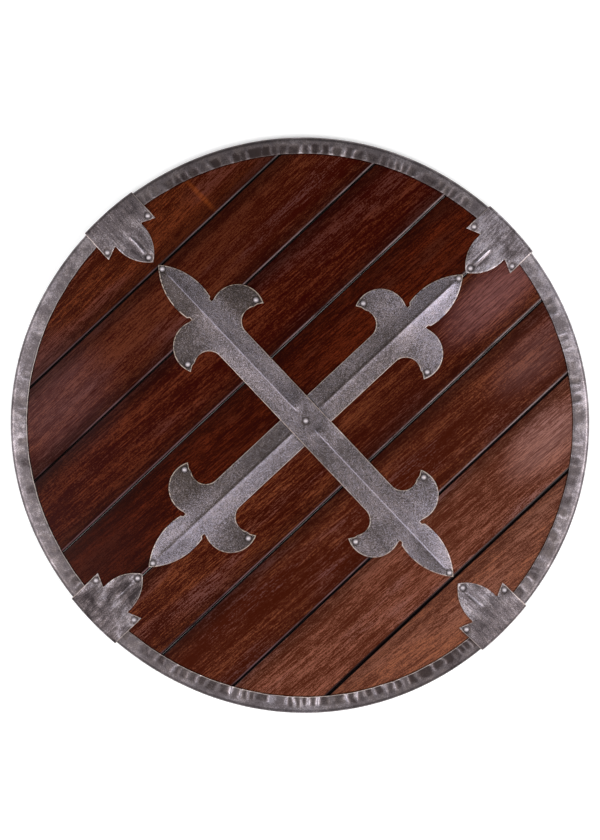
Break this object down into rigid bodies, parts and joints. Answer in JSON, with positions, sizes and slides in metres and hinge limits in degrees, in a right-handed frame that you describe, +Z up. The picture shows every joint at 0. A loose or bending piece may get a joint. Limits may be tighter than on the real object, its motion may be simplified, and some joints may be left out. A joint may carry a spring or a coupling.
{
  "type": "wooden round shield",
  "caption": "Flat round shield of dark stained planks with a folded steel edge band, steel clips and two crossed creased bars with fleur-de-lis ends, all riveted through.",
  "frame": {"origin": "on the ground under the middle of the shield's outline", "axes": "+Z up out of the face of the shield as it lies on its back; +Y towards the top of the shield as it is shown, +X to the right; the planks run 43 degrees from +X"},
  "size_m": [0.6136, 0.6106, 0.0241],
  "materials": {
    "red_brown_plank": "dark red-brown stain under a thin satin lacquer",
    "orange_brown_plank": "warmer, lighter red-brown stain under a thin satin lacquer",
    "band_steel": "hammered and crimped, dark patina in the hollows, worn bright on the ridges",
    "bar_steel": "fine sandy dark patina, edges and crease worn bright",
    "clip_steel": "brushed lengthwise, dark patina, worn bright along the edges",
    "rivet_steel": "bright rounded heads"
  },
  "bodies": {
    "root": {"plank_1": "red_brown_plank", "plank_2": "red_brown_plank", "plank_3": "red_brown_plank", "plank_4": "red_brown_plank", "plank_5": "red_brown_plank", "plank_6": "red_brown_plank", "plank_7": "orange_brown_plank", "plank_8": "orange_brown_plank", "edge_band": "band_steel", "upper_bar": "bar_steel", "lower_bar": "bar_steel", "clip_upper_left": "clip_steel", "clip_upper_right": "clip_steel", "clip_lower_left": "clip_steel", "clip_lower_right": "clip_steel", "middle_rivet": "rivet_steel", "upper_bar_rivet_1": "rivet_steel", "upper_bar_rivet_2": "rivet_steel", "upper_bar_rivet_3": "rivet_steel", "upper_bar_rivet_4": "rivet_steel", "upper_bar_rivet_5": "rivet_steel", "upper_bar_rivet_6": "rivet_steel", "lower_bar_rivet_1": "rivet_steel", "lower_bar_rivet_2": "rivet_steel", "lower_bar_rivet_3": "rivet_steel", "lower_bar_rivet_4": "rivet_steel", "lower_bar_rivet_5": "rivet_steel", "lower_bar_rivet_6": "rivet_steel", "clip_upper_left_rivet_1": "rivet_steel", "clip_upper_left_rivet_2": "rivet_steel", "clip_upper_left_rivet_3": "rivet_steel", "clip_upper_right_rivet_1": "rivet_steel", "clip_upper_right_rivet_2": "rivet_steel", "clip_upper_right_rivet_3": "rivet_steel", "clip_lower_left_rivet_1": "rivet_steel", "clip_lower_left_rivet_2": "rivet_steel", "clip_lower_left_rivet_3": "rivet_steel", "clip_lower_right_rivet_1": "rivet_steel", "clip_lower_right_rivet_2": "rivet_steel", "clip_lower_right_rivet_3": "rivet_steel"}
  },
  "joints": []
}
